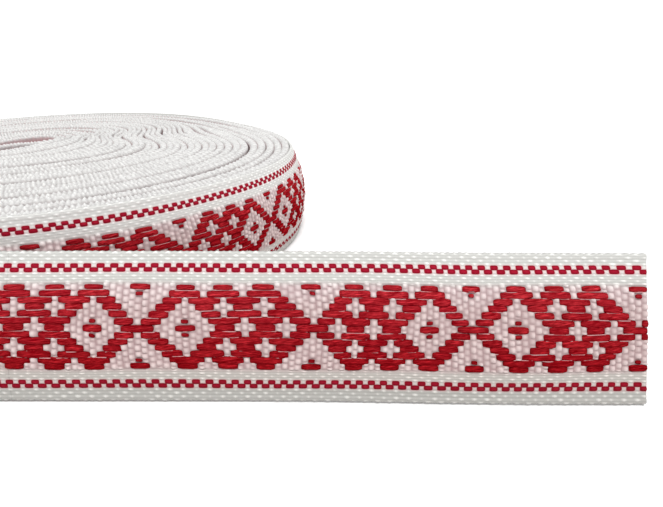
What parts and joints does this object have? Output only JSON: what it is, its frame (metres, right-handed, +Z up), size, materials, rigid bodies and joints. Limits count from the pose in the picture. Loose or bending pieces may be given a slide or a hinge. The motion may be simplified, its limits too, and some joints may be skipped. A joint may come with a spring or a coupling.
{
  "type": "roll of woven ribbon with a loose end",
  "caption": "Narrow jacquard-woven ribbon wound on edge into a flat round roll, its free end led along the front, leaning back.",
  "frame": {"origin": "middle of the bounding box at table level", "axes": "+X along the free end towards its cut, +Y from the free end back to the roll, +Z up, along the ribbon's width"},
  "size_m": [0.2198, 0.1743, 0.025],
  "materials": {
    "woven_cotton": "white plain-woven ground with crimson pattern floats, matte, slightly silky floats"
  },
  "bodies": {
    "root": {"ribbon_roll": "woven_cotton", "ribbon_loose_end": "woven_cotton"}
  },
  "joints": []
}
